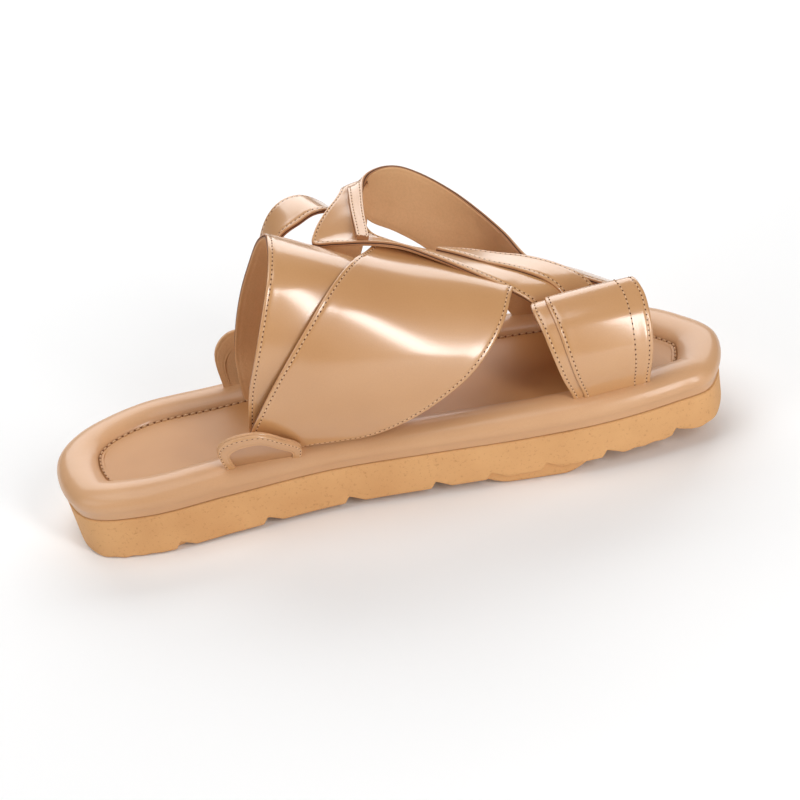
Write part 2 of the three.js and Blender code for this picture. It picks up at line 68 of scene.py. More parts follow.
# Straps, each a table of sections along it: a point on its back edge, one on its front edge, and the crown
rearBand = [
    row((0.291, -0.247, -0.079), (0.355, -0.247, -0.075)),
    row((0.291, -0.270, 0.037), (0.359, -0.280, 0.041)),
    row((0.297, -0.327, 0.201), (0.379, -0.332, 0.182), 0.01),
    row((0.309, -0.362, 0.387), (0.417, -0.367, 0.347), 0.02),
    row((0.329, -0.385, 0.575), (0.459, -0.357, 0.524), 0.02),
    row((0.353, -0.345, 0.774), (0.490, -0.286, 0.665), 0.02),
    row((0.371, -0.268, 0.908), (0.509, -0.194, 0.764), 0.02),
    row((0.381, -0.155, 0.984), (0.519, -0.082, 0.780), 0.02),
    row((0.384, -0.041, 1.010), (0.519, 0.010, 0.747), 0.01),
    row((0.381, 0.056, 0.985), (0.517, 0.092, 0.690), 0.01),
    row((0.367, 0.143, 0.914), (0.514, 0.184, 0.618), 0.01),
    row((0.345, 0.230, 0.750), (0.497, 0.265, 0.503), 0.01),
    row((0.323, 0.292, 0.575), (0.462, 0.327, 0.373), 0.01),
    row((0.303, 0.333, 0.376), (0.410, 0.347, 0.219), 0.01),
    row((0.290, 0.340, 0.201), (0.369, 0.347, 0.112)),
    row((0.287, 0.311, 0.061), (0.359, 0.316, 0.053)),
    row((0.289, 0.289, -0.079), (0.355, 0.289, -0.075)),
]
medialWing = [
    row((0.300, -0.272, -0.078), (0.362, -0.272, -0.075)),
    row((0.297, -0.291, 0.015), (0.366, -0.290, 0.001)),
    row((0.295, -0.337, 0.142), (0.383, -0.311, 0.017)),
    row((0.316, -0.385, 0.283), (0.421, -0.324, 0.015), 0.017),
    row((0.342, -0.398, 0.409), (0.469, -0.347, 0.024), 0.035),
    row((0.378, -0.398, 0.561), (0.524, -0.378, 0.080), 0.047),
    row((0.413, -0.362, 0.684), (0.579, -0.391, 0.164), 0.047),
    row((0.447, -0.289, 0.778), (0.628, -0.375, 0.254), 0.047),
    row((0.479, -0.184, 0.824), (0.666, -0.332, 0.349), 0.035),
    row((0.500, -0.102, 0.826), (0.693, -0.260, 0.430), 0.023),
    row((0.516, -0.020, 0.800), (0.712, -0.158, 0.492), 0.012),
    row((0.534, 0.082, 0.780), (0.725, -0.041, 0.480)),
    row((0.545, 0.173, 0.740), (0.736, 0.061, 0.445)),
]
crossStrap = [
    row((0.779, -0.131, -0.128), (0.828, -0.117, -0.130)),
    row((0.775, -0.131, 0.105), (0.828, -0.114, 0.102)),
    row((0.764, -0.133, 0.303), (0.821, -0.092, 0.301)),
    row((0.738, -0.148, 0.436), (0.800, -0.031, 0.406), 0.012),
    row((0.707, -0.122, 0.522), (0.772, 0.082, 0.460), 0.012),
    row((0.676, -0.092, 0.593), (0.738, 0.143, 0.489), 0.012),
    row((0.645, -0.064, 0.660), (0.697, 0.153, 0.530), 0.012),
    row((0.614, -0.036, 0.722), (0.648, 0.153, 0.587), 0.012),
    row((0.570, -0.010, 0.805), (0.597, 0.143, 0.677)),
    row((0.526, 0.010, 0.845), (0.555, 0.122, 0.773)),
    row((0.479, 0.051, 0.852), (0.534, 0.133, 0.830)),
    row((0.446, 0.102, 0.850), (0.528, 0.173, 0.865)),
    row((0.453, 0.173, 0.880), (0.528, 0.235, 0.886)),
    row((0.472, 0.265, 0.911), (0.531, 0.327, 0.904)),
    row((0.493, 0.357, 0.926), (0.538, 0.413, 0.927)),
    row((0.506, 0.439, 0.929), (0.547, 0.469, 0.936), 0.006),
    row((0.503, 0.493, 0.881), (0.548, 0.510, 0.884), 0.012),
    row((0.488, 0.513, 0.775), (0.541, 0.529, 0.761), 0.012),
    row((0.464, 0.510, 0.640), (0.526, 0.527, 0.597), 0.012),
    row((0.429, 0.490, 0.476), (0.497, 0.505, 0.410), 0.012),
    row((0.384, 0.444, 0.299), (0.452, 0.454, 0.239)),
    row((0.338, 0.378, 0.145), (0.400, 0.388, 0.113)),
    row((0.310, 0.330, 0.044), (0.369, 0.334, 0.042)),
    row((0.303, 0.313, -0.078), (0.362, 0.313, -0.075)),
]
rearLoop = [
    row((0.353, 0.357, 0.436), (0.357, 0.306, 0.518)),
    row((0.358, 0.423, 0.576), (0.367, 0.296, 0.658)),
    row((0.368, 0.469, 0.717), (0.386, 0.296, 0.767)),
    row((0.389, 0.497, 0.840), (0.407, 0.301, 0.833)),
    row((0.414, 0.510, 0.900), (0.433, 0.306, 0.871), 0.006),
    row((0.441, 0.513, 0.907), (0.455, 0.316, 0.899), 0.006),
    row((0.466, 0.513, 0.856), (0.476, 0.327, 0.897)),
    row((0.486, 0.513, 0.775), (0.493, 0.337, 0.857)),
    row((0.491, 0.513, 0.677), (0.502, 0.378, 0.782)),
]
vamp = [
    row((0.510, 0.025, 0.873), (0.527, 0.018, 0.857)),
    row((0.511, 0.230, 0.914), (0.530, 0.224, 0.898)),
    row((0.515, 0.408, 0.935), (0.538, 0.388, 0.935)),
    row((0.519, 0.495, 0.850), (0.551, 0.464, 0.962)),
    row((0.538, 0.521, 0.690), (0.572, 0.495, 0.975), 0.006),
    row((0.571, 0.524, 0.605), (0.597, 0.505, 0.960), 0.006),
    row((0.603, 0.524, 0.510), (0.629, 0.495, 0.897), 0.006),
    row((0.631, 0.525, 0.405), (0.669, 0.459, 0.785), 0.012),
    row((0.666, 0.524, 0.280), (0.700, 0.388, 0.683), 0.023),
    row((0.707, 0.500, 0.130), (0.728, 0.286, 0.586), 0.045),
    row((0.745, 0.459, -0.069), (0.759, 0.112, 0.475), 0.10),
    row((0.803, 0.439, -0.071), (0.800, 0.041, 0.425), 0.115),
    row((0.875, 0.350, -0.068), (0.862, -0.031, 0.330), 0.075),
]
vampEdge = [
    row((0.628, 0.102, 0.667), (0.621, 0.066, 0.690)),
    row((0.669, 0.133, 0.611), (0.655, 0.039, 0.645)),
    row((0.714, 0.143, 0.548), (0.690, 0.022, 0.582)),
    row((0.752, 0.133, 0.507), (0.731, -0.005, 0.524)),
    row((0.797, 0.071, 0.453), (0.767, -0.046, 0.463), 0.006),
    row((0.831, 0.010, 0.381), (0.786, -0.082, 0.401), 0.006),
    row((0.848, -0.061, 0.287), (0.797, -0.110, 0.278)),
    row((0.852, -0.095, 0.101), (0.802, -0.117, 0.104)),
    row((0.852, -0.107, -0.132), (0.805, -0.128, -0.129)),
]
toeRing = [
    row((0.772, -0.367, -0.093), (0.886, -0.357, -0.088)),
    row((0.769, -0.391, 0.012), (0.886, -0.381, 0.017)),
    row((0.758, -0.418, 0.142), (0.892, -0.413, 0.147), 0.012),
    row((0.749, -0.405, 0.280), (0.897, -0.406, 0.240), 0.012),
    row((0.743, -0.362, 0.379), (0.900, -0.365, 0.340), 0.012),
    row((0.737, -0.281, 0.440), (0.900, -0.290, 0.415), 0.012),
    row((0.738, -0.217, 0.445), (0.894, -0.219, 0.448), 0.006),
    row((0.745, -0.181, 0.402), (0.890, -0.180, 0.415)),
    row((0.757, -0.179, 0.280), (0.884, -0.174, 0.284)),
    row((0.771, -0.184, 0.128), (0.871, -0.178, 0.123)),
    row((0.779, -0.186, -0.128), (0.859, -0.182, -0.132)),
]
innerGuard = [
    row((0.357, -0.316, -0.063), (0.364, -0.354, 0.036)),
    row((0.336, -0.311, -0.065), (0.340, -0.414, 0.137)),
    row((0.312, -0.311, -0.066), (0.312, -0.437, 0.205)),
    row((0.286, -0.311, -0.067), (0.286, -0.437, 0.214)),
    row((0.264, -0.311, -0.069), (0.260, -0.426, 0.196)),
    row((0.253, -0.311, -0.069), (0.245, -0.400, 0.145)),
]
outerGuard = [
    row((0.262, 0.358, -0.069), (0.258, 0.400, 0.175)),
    row((0.272, 0.358, -0.069), (0.272, 0.420, 0.245)),
    row((0.290, 0.358, -0.067), (0.292, 0.430, 0.275)),
    row((0.312, 0.358, -0.066), (0.314, 0.430, 0.262)),
    row((0.336, 0.358, -0.065), (0.338, 0.418, 0.190)),
    row((0.357, 0.362, -0.063), (0.362, 0.384, 0.050)),
]


# Heights along the shoe
def edgeHeight(x):
    share = np.maximum(0, (x / shoe["length"] - shoe["springStart"]) / (1 - shoe["springStart"]))
    return shoe["tilt"] * np.maximum(0, x - shoe["tiltStart"]) + shoe["toeSpring"] * share * share


def seamHeight(x):
    share = x / shoe["length"]
    return shoe["heelSole"] + (shoe["toeSole"] - shoe["heelSole"]) * share + edgeHeight(x)


def place(point):
    along, across, up = point
    x = along * shoe["length"]
    rise = up * shoe["instepRise"]
    height = seamHeight(x) + shoe["rimHeight"] + rise
    return np.array([x - shoe["tilt"] * rise, across * shoe["ballWidth"], height])


# The least length that is divided by
tiny = 1e-12


# Smooth curve through points, at shares of its length counted in points
def spline(points, shares, closed=False):
    points = np.asarray(points, float)
    count = len(points)
    spans = count if closed else count - 1
    position = np.asarray(shares) * spans
    start = np.clip(np.floor(position).astype(int), 0, spans - 1)
    t = (position - start)[:, None]
    if closed:
        p0, p1, p2, p3 = (points[(start + k) % count] for k in (-1, 0, 1, 2))
    else:
        padded = np.vstack([2 * points[0] - points[1], points, 2 * points[-1] - points[-2]])
        p0, p1, p2, p3 = (padded[start + k] for k in range(4))
    gap = lambda a, b: np.maximum(np.sqrt(np.linalg.norm(b - a, axis=1)), tiny)[:, None]
    d0, d1, d2 = gap(p0, p1), gap(p1, p2), gap(p2, p3)
    m1 = ((p1 - p0) / d0 - (p2 - p0) / (d0 + d1) + (p2 - p1) / d1) * d1
    m2 = ((p2 - p1) / d1 - (p3 - p1) / (d1 + d2) + (p3 - p2) / d2) * d1
    return p1 + m1 * t + (3 * (p2 - p1) - 2 * m1 - m2) * t ** 2 + (2 * (p1 - p2) + m1 + m2) * t ** 3


def unit(vectors):
    return vectors / np.maximum(np.linalg.norm(vectors, axis=-1, keepdims=True), tiny)


# Outline of the sole, evenly spaced from a curve that is drawn much finer
outlineCount = 840
outlineDraft = 4001


def outlinePoint(along, across):
    return (along * shoe["length"], across * shoe["ballWidth"], 0)


innerSide = [outlinePoint(s["along"], s["inner"]) for s in outlineStations]
outerSide = [outlinePoint(s["along"], s["outer"]) for s in outlineStations]
outlinePoints = [outlinePoint(**heelBack), *innerSide, outlinePoint(**toeTip), *reversed(outerSide)]


def evenly(points, count):
    steps = np.linalg.norm(np.diff(points, axis=0), axis=1)
    reach = np.concatenate([[0], np.cumsum(steps)])
    goal = np.linspace(0, reach[-1], count + 1)[:-1]
    return np.stack([np.interp(goal, reach, points[:, axis]) for axis in range(3)], axis=1)


outline = evenly(spline(outlinePoints, np.linspace(0, 1, outlineDraft), closed=True), outlineCount)
middle = (outline.max(axis=0) + outline.min(axis=0)) / 2
ahead, behind = np.roll(outline, -1, axis=0), np.roll(outline, 1, axis=0)
outward = [ahead[:, 1] - behind[:, 1], behind[:, 0] - ahead[:, 0], ahead[:, 0] * 0]
outlineNormal = unit(np.stack(outward, axis=1))


# The outline moved inwards: points that come too near to another stretch of it are laid anew
insetSlack = 0.985


def insetOutline(inset):
    depth = inset(outline[:, 0]) if callable(inset) else np.full(outlineCount, inset)
    moved = outline - outlineNormal * depth[:, None]
    distance = np.sqrt(((moved[:, None, :2] - outline[None, :, :2]) ** 2).sum(axis=2)).min(axis=1)
    kept = np.flatnonzero(distance >= depth * insetSlack - tiny)
    if len(kept) == outlineCount:
        return moved
    spots = np.concatenate([kept, kept[:1] + outlineCount])
    values = np.vstack([moved[kept], moved[kept[:1]]])
    wanted = np.arange(outlineCount) + 0.0
    wanted[wanted < kept[0]] += outlineCount
    return np.stack([np.interp(wanted, spots, values[:, axis]) for axis in range(3)], axis=1)


# Meshes and pieces
def addObject(name, data):
    thing = bpy.data.objects.new(name, data)
    bpy.context.scene.collection.objects.link(thing)
    return thing


def addMesh(name, points, faces, materials, nodes, faceMaterials=None, sharpAngle=40):
    mesh = bpy.data.meshes.new(name)
    mesh.from_pydata([tuple(p) for p in points], [], faces)
    for material in materials:
        mesh.materials.append(material)
    if faceMaterials is not None:
        mesh.polygons.foreach_set("material_index", np.asarray(faceMaterials, dtype=np.int32))
    mesh.polygons.foreach_set("use_smooth", np.ones(len(mesh.polygons), dtype=bool))
    mesh.update()
    mesh.validate()
    mesh.set_sharp_from_angle(angle=math.radians(sharpAngle))
    settle(addObject(name, mesh), nodes)


def settle(piece, nodes):
    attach(piece, "root")
    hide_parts(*nodes)


# Materials
def newMaterial(name):
    material = bpy.data.materials.new(name)
    material.use_nodes = True
    tree = material.node_tree
    tree.nodes.clear()
    output = tree.nodes.new("ShaderNodeOutputMaterial")
    shader = tree.nodes.new("ShaderNodeBsdfPrincipled")
    tree.links.new(shader.outputs["BSDF"], output.inputs["Surface"])
    return material, tree, shader


def noise(tree, scale, detail=4, roughness=0.55, distortion=0):
    coordinates = tree.nodes.new("ShaderNodeTexCoord")
    texture = tree.nodes.new("ShaderNodeTexNoise")
    texture.inputs["Scale"].default_value = scale
    texture.inputs["Detail"].default_value = detail
    texture.inputs["Roughness"].default_value = roughness
    texture.inputs["Distortion"].default_value = distortion
    tree.links.new(coordinates.outputs["Object"], texture.inputs["Vector"])
    return texture.outputs["Fac"]


def ramp(tree, source, span, colors):
    node = tree.nodes.new("ShaderNodeValToRGB")
    for element, position, color in zip(node.color_ramp.elements, span, colors):
        element.position = position
        element.color = (*color, 1)
    tree.links.new(source, node.inputs["Fac"])
    return node.outputs["Color"]


def mapRange(tree, source, span, goal):
    node = tree.nodes.new("ShaderNodeMapRange")
    for name, value in zip(("From Min", "From Max", "To Min", "To Max"), (*span, *goal)):
        node.inputs[name].default_value = value
    tree.links.new(source, node.inputs["Value"])
    return node.outputs["Result"]


def bump(tree, shader, layers):
    last = None
    for source, strength, distance in layers:
        node = tree.nodes.new("ShaderNodeBump")
        node.inputs["Strength"].default_value = strength
        node.inputs["Distance"].default_value = distance
        tree.links.new(source, node.inputs["Height"])
        if last:
            tree.links.new(last, node.inputs["Normal"])
        last = node.outputs["Normal"]
    tree.links.new(last, shader.inputs["Normal"])


def srgb(r, g, b):
    return tuple((c / 255 / 12.92) if c < 11 else ((c / 255 + 0.055) / 1.055) ** 2.4 for c in (r, g, b))


def tint(tree, first, second, amount):
    mix = tree.nodes.new("ShaderNodeMix")
    mix.data_type = "RGBA"
    mix.blend_type = "MULTIPLY"
    mix.inputs["Factor"].default_value = amount
    tree.links.new(first, mix.inputs["A"])
    tree.links.new(second, mix.inputs["B"])
    return mix.outputs["Result"]


# Smooth leather: soft clouds of colour, a fine grain with pores, faint creases and a polished coat
leatherSkin = {
    "cloudSpan": (0.3, 0.7), "grainSpan": (0.3, 0.7), "smoother": 0.05, "rougher": 0.06,
    "poreSpan": (0.3, 0.6), "poreColor": (0.93, 0.92, 0.9), "creaseDepth": 0.004, "grainDepth": 0.0004,
}
white = (1, 1, 1)


def smoothLeather(name, look):
    material, tree, shader = newMaterial(name)
    clouds = noise(tree, look["cloudScale"], detail=3)
    grain = noise(tree, look["grainScale"], detail=5, roughness=0.6)
    creases = noise(tree, look["creaseScale"], detail=2, distortion=0.6)
    base = ramp(tree, clouds, leatherSkin["cloudSpan"], (look["dark"], look["light"]))
    pores = ramp(tree, grain, leatherSkin["poreSpan"], (leatherSkin["poreColor"], white))
    tree.links.new(tint(tree, base, pores, look["poreTint"]), shader.inputs["Base Color"])
    goal = (look["roughness"] - leatherSkin["smoother"], look["roughness"] + leatherSkin["rougher"])
    tree.links.new(mapRange(tree, grain, leatherSkin["grainSpan"], goal), shader.inputs["Roughness"])
    bump(tree, shader, [
        (creases, look["creaseBump"], leatherSkin["creaseDepth"]),
        (grain, look["grainBump"], leatherSkin["grainDepth"]),
    ])
    shader.inputs["Coat Weight"].default_value = look["coat"]
    shader.inputs["Coat Roughness"].default_value = look["coatRoughness"]
    shader.inputs["Coat IOR"].default_value = look["coatIndex"]
    return material


# The leathers: the two colours of the clouds, scales per metre, and strengths as shares
strapLook = {
    "dark": srgb(196, 143, 92), "light": srgb(206, 154, 102), "cloudScale": 14, "poreTint": 0.6,
    "grainScale": 1700, "grainBump": 0.10, "creaseScale": 26, "creaseBump": 0.10,
    "roughness": 0.42, "coat": 1.0, "coatRoughness": 0.18, "coatIndex": 1.7,
}
rimLook = {
    "dark": srgb(199, 149, 104), "light": srgb(211, 163, 119), "cloudScale": 16, "poreTint": 0.5,
    "grainScale": 1500, "grainBump": 0.10, "creaseScale": 60, "creaseBump": 0.08,
    "roughness": 0.50, "coat": 0.45, "coatRoughness": 0.19, "coatIndex": 1.5,
}
insoleLook = {
    "dark": srgb(182, 128, 76), "light": srgb(194, 141, 89), "cloudScale": 18, "poreTint": 0.5,
    "grainScale": 1600, "grainBump": 0.08, "creaseScale": 40, "creaseBump": 0.05,
    "roughness": 0.52, "coat": 0.05, "coatRoughness": 0.35, "coatIndex": 1.5,
}
liningLook = {
    "dark": srgb(214, 166, 118), "light": srgb(229, 183, 136), "cloudScale": 20, "poreTint": 0.9,
    "grainScale": 900, "grainBump": 0.30, "creaseScale": 50, "creaseBump": 0.10,
    "roughness": 0.78, "coat": 0.0, "coatRoughness": 0.4, "coatIndex": 1.5,
}
strapLeather = smoothLeather("glossyStrapLeather", strapLook)
rimLeather = smoothLeather("satinRimLeather", rimLook)
insoleLeather = smoothLeather("satinInsoleLeather", insoleLook)
liningLeather = smoothLeather("suedeLining", liningLook)
# Guard panels: the strap leather darkened, as painted shade for the shade that the leaning panels lie in
shadedGuardLook = {**strapLook, "dark": srgb(172, 122, 80), "light": srgb(184, 134, 90)}
shadedGuardLeather = smoothLeather("guardPanelShadedLeather", shadedGuardLook)


# Plain finishes of one colour with a little mottling
mottling = {"span": (0.35, 0.65), "strength": 0.2, "depth": 0.0003}


def plainFinish(name, color, roughness, spread=0.1, scale=600):
    material, tree, shader = newMaterial(name)
    mottle = noise(tree, scale, detail=3)
    dark = tuple(c * (1 - spread) for c in color)
    tree.links.new(ramp(tree, mottle, mottling["span"], (dark, color)), shader.inputs["Base Color"])
    bump(tree, shader, [(mottle, mottling["strength"], mottling["depth"])])
    shader.inputs["Roughness"].default_value = roughness
    return material


cutEdge = plainFinish("cutLeatherEdge", srgb(168, 112, 70), 0.6)
edgeLine = plainFinish("edgeShadowLine", srgb(70, 38, 22), 0.8)
threadMottle = {"spread": 0.25, "scale": 3000}
thread = plainFinish("paleThread", srgb(232, 192, 150), 0.6, **threadMottle)
# Needle holes and insole seam holes: dark colours that are painted shade for the shadow inside the holes,
# laid on raised dots
needleHoleShade = plainFinish("needleHoleShade", srgb(92, 50, 28), 0.9)
seamThread = plainFinish("seamThread", srgb(206, 160, 116), 0.6, **threadMottle)
seamHoleShade = plainFinish("seamHoleShade", srgb(120, 76, 46), 0.9)
guardEdge = plainFinish("paleGuardEdge", srgb(208, 160, 116), 0.5)


# Foamed sole: matte, with fine speckles
def foamSole(look):
    material, tree, shader = newMaterial("speckledSoleFoam")
    clouds = noise(tree, look["cloudScale"], detail=3)
    specks = noise(tree, look["speckScale"], detail=2, roughness=0.7)
    skin = noise(tree, look["skinScale"])
    base = ramp(tree, clouds, look["cloudSpan"], (look["dark"], look["light"]))
    dots = ramp(tree, specks, look["speckSpan"], (look["speckColor"], white))
    tree.links.new(tint(tree, base, dots, look["speckTint"]), shader.inputs["Base Color"])
    shader.inputs["Roughness"].default_value = look["roughness"]
    shader.inputs["Specular IOR Level"].default_value = look["specular"]
    bump(tree, shader, [
        (specks, look["speckBump"], look["speckDepth"]),
        (skin, look["skinBump"], look["skinDepth"]),
    ])
    return material


soleLook = {
    "dark": srgb(208, 155, 102), "light": srgb(220, 169, 115), "cloudScale": 30, "cloudSpan": (0.3, 0.7),
    "speckColor": (0.80, 0.74, 0.66), "speckScale": 700, "speckSpan": (0.28, 0.42), "speckTint": 0.8,
    "speckBump": 0.35, "speckDepth": 0.0006, "skinScale": 2600, "skinBump": 0.15, "skinDepth": 0.0003,
    "roughness": 0.72, "specular": 0.3,
}
soleFoam = foamSole(soleLook)
print("materials made")


# Rings round the sole, joined into one closed skin
def ladderFaces(start, down):
    faces = []
    for i in range(outlineCount // 2):
        a, b = start + i, start + i + 1
        c, d = start + (outlineCount - i - 1) % outlineCount, start + (outlineCount - i) % outlineCount
        face = [a, b, c] if a == d else [a, b, d] if b == c else [a, b, c, d]
        faces.append(face[::-1] if down else face)
    return faces


def ringPoints(inset, height):
    ring = insetOutline(inset)
    ring[:, 2] = height(ring[:, 0])
    return ring - np.array([middle[0], middle[1], 0])


def ringAboveSeam(inset, up):
    return ringPoints(inset, lambda x: seamHeight(x) + up)


def ringFaces(rings):
    faces = []
    for k in range(rings - 1):
        for i in range(outlineCount):
            n = (i + 1) % outlineCount
            a, b = k * outlineCount + i, k * outlineCount + n
            faces.append([a, b, b + outlineCount, a + outlineCount])
    return faces


def addSkin(name, rings, material, node, sharpAngle=40):
    last = (len(rings) - 1) * outlineCount
    faces = ringFaces(len(rings)) + ladderFaces(0, True) + ladderFaces(last, False)
    addMesh(name, np.vstack(rings), faces, [material], [node], sharpAngle=sharpAngle)


# A cap across the inside of a ring, made of crossing rows from the inner to the outer side
def capMesh(ring, steps, height):
    rows = []
    half = outlineCount // 2
    for i in range(1, half):
        left, right = ring[i], ring[outlineCount - i]
        shares = np.linspace(0, 1, steps + 1)[:, None]
        line = left + (right - left) * shares
        line[1:-1, 2] = height(line[1:-1], shares[1:-1, 0])
        rows.append(line)
    return np.array(rows)


# Outsole: a tapered wall with grooves across the tread and faint scallops at both ends.
# heelScallops and toeScallops say where along the shoe the scallops end or start, and how far they fade.
# Each step of padEdge is an inset and a height. Each pad has a middle, half a flat and a reach.
sole = {
    "heelFlare": 0.0020, "toeFlare": 0.0002,
    "grooveDepth": 0.0032, "grooveWidth": 0.009, "grooveSteep": 0.25,
    "grooves": (0.152, 0.286, 0.411, 0.542, 0.625, 0.708, 0.800, 0.908),
    "scallopDepth": 0.0005, "scallopPitch": 0.0085,
    "heelScallops": (0.14, 0.04), "toeScallops": (0.80, 0.05),
    "underInsets": (0.008, 0.004), "edgeRadius": 0.0014, "edgeSteps": 6, "wallRings": 10,
    "seamDrop": 0.0004, "topInset": 0.0005,
    "padEdge": ((0.0065, 0.0), (0.0048, 0.0002), (0.0035, 0.0006), (0.0027, 0.0013), (0.0024, 0.0022)),
    "pads": ((0.10, 0.05, 0.12), (0.70, 0.04, 0.12)), "padCover": 0.006,
}


def grooveLift(x):
    lift = np.zeros_like(x)
    for along in sole["grooves"]:
        share = (x - along * shoe["length"]) / sole["grooveWidth"]
        rising = np.clip(share / sole["grooveSteep"], 0, 1)
        falling = np.clip((1 - share) / (1 - sole["grooveSteep"]), 0, 1)
        lift = np.maximum(lift, sole["grooveDepth"] * np.minimum(rising, falling))
    return lift


def scallops(x):
    (heelEnd, heelFade), (toeStart, toeFade) = sole["heelScallops"], sole["toeScallops"]
    along = x / shoe["length"]
    ends = np.clip((heelEnd - along) / heelFade, 0, 1) + np.clip((along - toeStart) / toeFade, 0, 1)
    return sole["scallopDepth"] * ends * (0.5 + 0.5 * np.cos(2 * np.pi * x / sole["scallopPitch"]))


def lowerEdge(x, up):
    return edgeHeight(x) + up + grooveLift(x) + scallops(x)


def flare(x):
    return sole["heelFlare"] + (sole["toeFlare"] - sole["heelFlare"]) * x / shoe["length"]


def makeOutsole():
    radius = sole["edgeRadius"]
    corner = [(inset, 0) for inset in sole["underInsets"]]
    for k in range(1, sole["edgeSteps"] + 1):
        angle = math.radians(90 * k / sole["edgeSteps"])
        corner.append((radius * (1 - math.sin(angle)), radius * (1 - math.cos(angle))))
    rings = [ringPoints(lambda x: flare(x) + inset, lambda x: lowerEdge(x, up)) for inset, up in corner]
    for k in range(1, sole["wallRings"] + 1):
        share = k / sole["wallRings"]
        height = lambda x: lowerEdge(x, radius) * (1 - share) + seamHeight(x) * share
        rings.append(ringPoints(lambda x: flare(x) * (1 - share), height))
    rings[-1][:, 2] -= sole["seamDrop"]
    rings.append(ringPoints(sole["topInset"], seamHeight))
    addSkin("outsoleWall", rings, soleFoam, "outsole", sharpAngle=35)


def padHeight(x):
    lifts = []
    for along, flat, reach in sole["pads"]:
        share = np.clip((np.abs(x / shoe["length"] - along) - flat) / (reach - flat), 0, 1)
        lifts.append(share * share * (3 - 2 * share))
    return (edgeHeight(x) + sole["grooveDepth"]) * np.minimum(*lifts)


def makeTreadPads():
    rings = []
    for inset, up in sole["padEdge"]:
        rings.append(ringPoints(lambda x: flare(x) + inset, lambda x: padHeight(x) + up))
    topInset = sole["padEdge"][-1][0]
    rings.append(ringPoints(lambda x: flare(x) + topInset, lambda x: seamHeight(x) - sole["padCover"]))
    addSkin("treadPads", rings, soleFoam, "outsole")


makeOutsole()
makeTreadPads()
print("outsole made")


# Padded rim round the footbed, a roll with a tucked seam at its foot
rim = {
    "rollSlack": 0.001, "footAngle": -30, "steps": 26, "floorDrop": 0.003,
    "foot": ((0.0010, 0.0001), (0.0004, 0.0005)),
}
rimMiddle = (shoe["rimWidth"] - rim["rollSlack"]) / 2
rimHalf = rimMiddle + shoe["rimBulge"]


def rimPoint(degrees):
    angle = math.radians(degrees)
    return rimMiddle - rimHalf * math.cos(angle), shoe["rimHeight"] / 2 * (1 + math.sin(angle))


rimInnerAngle = 180 - math.degrees(math.acos((shoe["rimWidth"] - rimMiddle) / rimHalf))
insoleTop = rimPoint(rimInnerAngle)[1]
insoleEdge = shoe["rimWidth"] + shoe["clearance"] / 2


def makeRim():
    rings = [ringAboveSeam(inset, up) for inset, up in rim["foot"]]
    for k in range(rim["steps"] + 1):
        angle = rim["footAngle"] + (rimInnerAngle - rim["footAngle"]) * k / rim["steps"]
        rings.append(ringAboveSeam(*rimPoint(angle)))
    rings.append(ringAboveSeam(insoleEdge, insoleTop - rim["floorDrop"]))
    addSkin("footbedRim", rings, rimLeather, "footbed_rim")


makeRim()
print("rim made")


# Insole: a thin leather-covered pad, dished along its middle
insole = {
    "thickness": 0.003, "edgeRadius": 0.0009, "edgeSteps": 4, "shoulder": 0.0022, "shoulderDrop": 0.0003,
    "dish": 0.0006, "dishPower": 0.6, "across": 22,
}


def makeInsole():
    radius = insole["edgeRadius"]
    rings = [ringAboveSeam(insoleEdge, insoleTop - insole["thickness"] + shoe["clearance"])]
    for k in range(insole["edgeSteps"] + 1):
        angle = math.radians(90 * k / insole["edgeSteps"])
        inset = insoleEdge + radius * (1 - math.cos(angle))
        rings.append(ringAboveSeam(inset, insoleTop - radius * (1 - math.sin(angle))))
    shoulderUp = insoleTop - insole["shoulderDrop"]
    rings.append(ringAboveSeam(insoleEdge + insole["shoulder"], shoulderUp))

    def topHeight(line, shares):
        dish = insole["dish"] * np.sin(np.pi * shares) ** insole["dishPower"]
        return seamHeight(line[:, 0] + middle[0]) + shoulderUp - dish

    inside = capMesh(rings[-1], insole["across"], topHeight)[:, 1:-1]
    points = np.vstack([*rings, inside.reshape(-1, 3)])
    faces = ringFaces(len(rings)) + ladderFaces(0, True)
    first, base = (len(rings) - 1) * outlineCount, len(rings) * outlineCount
    half, columns = outlineCount // 2, inside.shape[1]

    def spot(i, j):
        if j == 0:
            return first + i
        if j == columns + 1:
            return first + outlineCount - i
        return base + (i - 1) * columns + j - 1

    for i in range(1, half - 1):
        for j in range(columns + 1):
            faces.append([spot(i, j), spot(i + 1, j), spot(i + 1, j + 1), spot(i, j + 1)])
    for i, tip in ((1, first), (half - 1, first + half)):
        for j in range(columns + 1):
            face = [tip, spot(i, j), spot(i, j + 1)]
            faces.append(face if i == 1 else face[::-1])
    addMesh("insolePad", points, faces, [insoleLeather], ["insole"])


makeInsole()
print("insole made")


# Straps: a sheet with soft troughs along its stitch lines and a cut edge of two layers.
# edgeColumns holds the distance from the edge and the relief of each column of points beside it.
leather = {
    "thickness": 0.0024, "along": 7, "middleColumns": 14, "edgeShare": 0.45, "underRelief": 0.6,
    "layerGap": 0.00015, "lipOut": 0.0001, "lipRise": 0.00025,
    "edgeColumns": (
        (0, -0.00035), (0.0002, -0.00014), (0.0005, 0), (0.0011, 0.00002),
        (0.0017, -0.00016), (0.0023, 0.00002), (0.0031, 0.00006), (0.0042, 0),
    ),
}


